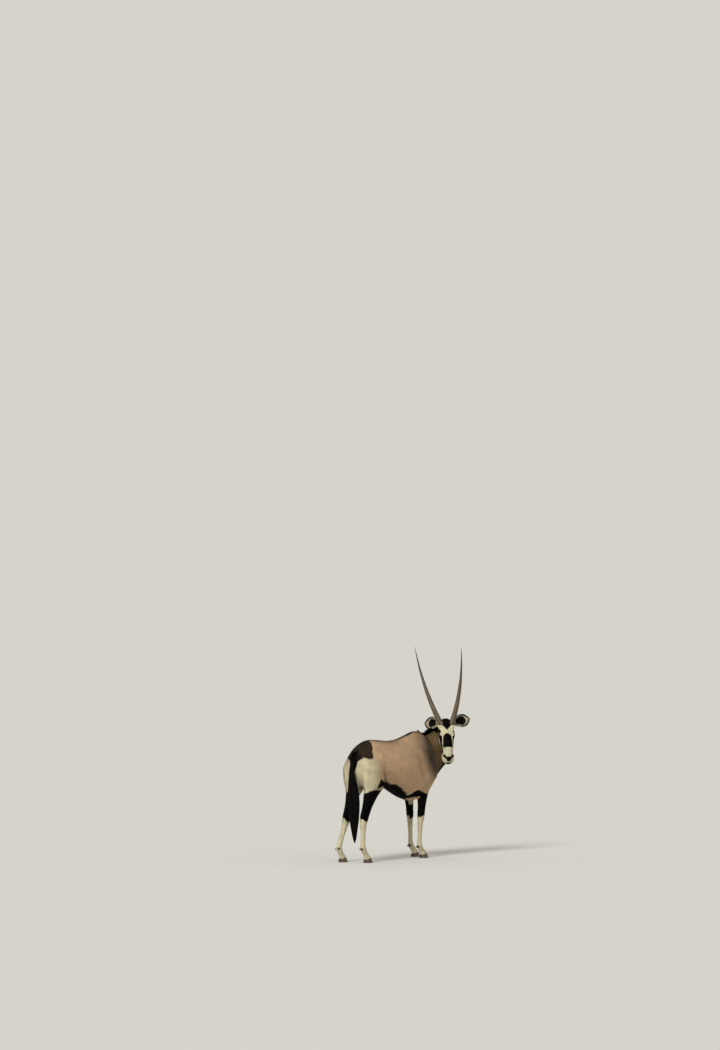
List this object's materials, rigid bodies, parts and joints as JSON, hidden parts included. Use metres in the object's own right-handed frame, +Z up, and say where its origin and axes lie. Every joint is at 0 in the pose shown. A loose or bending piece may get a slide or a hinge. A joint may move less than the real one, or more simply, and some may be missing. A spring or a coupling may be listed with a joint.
{
  "type": "gemsbok",
  "caption": "Life-size standing oryx antelope with long straight horns, its neck bent to its right and its face turned back.",
  "frame": {"origin": "on the floor, in the middle of the box round the whole animal", "axes": "+Z up, +X the way that the trunk faces, +Y the animal's left"},
  "size_m": [1.7166, 0.6186, 1.9822],
  "materials": {
    "coat_fawn": "short fawn coat, matt, with black and pale markings",
    "coat_grey_brown": "short grey-brown coat, matt, with a dark mane and throat stripe",
    "face_pale": "short pale face coat with black mask stripes",
    "stocking_pale": "short pale coat of the lower legs",
    "hair_black": "long black hair, slightly glossy",
    "ear_tan": "short pale coat with a dark cup and a dark tip",
    "eye_dark": "wet, very dark brown",
    "horn": "dark ringed horn, satin, smoother and darker to the tip",
    "hoof": "dark hoof horn, satin"
  },
  "bodies": {
    "root": {"ear_left": "ear_tan", "ear_right": "ear_tan", "eye_left": "eye_dark", "eye_right": "eye_dark", "foreleg_left_claw_inner": "hoof", "foreleg_left_claw_outer": "hoof", "foreleg_left_dewclaw_inner": "hoof", "foreleg_left_dewclaw_outer": "hoof", "foreleg_left_lower": "stocking_pale", "foreleg_left_upper": "coat_fawn", "foreleg_right_claw_inner": "hoof", "foreleg_right_claw_outer": "hoof", "foreleg_right_dewclaw_inner": "hoof", "foreleg_right_dewclaw_outer": "hoof", "foreleg_right_lower": "stocking_pale", "foreleg_right_upper": "coat_fawn", "head": "face_pale", "hindleg_left_claw_inner": "hoof", "hindleg_left_claw_outer": "hoof", "hindleg_left_dewclaw_inner": "hoof", "hindleg_left_dewclaw_outer": "hoof", "hindleg_left_lower": "stocking_pale", "hindleg_left_upper": "coat_fawn", "hindleg_right_claw_inner": "hoof", "hindleg_right_claw_outer": "hoof", "hindleg_right_dewclaw_inner": "hoof", "hindleg_right_dewclaw_outer": "hoof", "hindleg_right_lower": "stocking_pale", "hindleg_right_upper": "coat_fawn", "horn_left": "horn", "horn_right": "horn", "neck": "coat_grey_brown", "tail": "hair_black", "torso": "coat_fawn"}
  },
  "joints": []
}
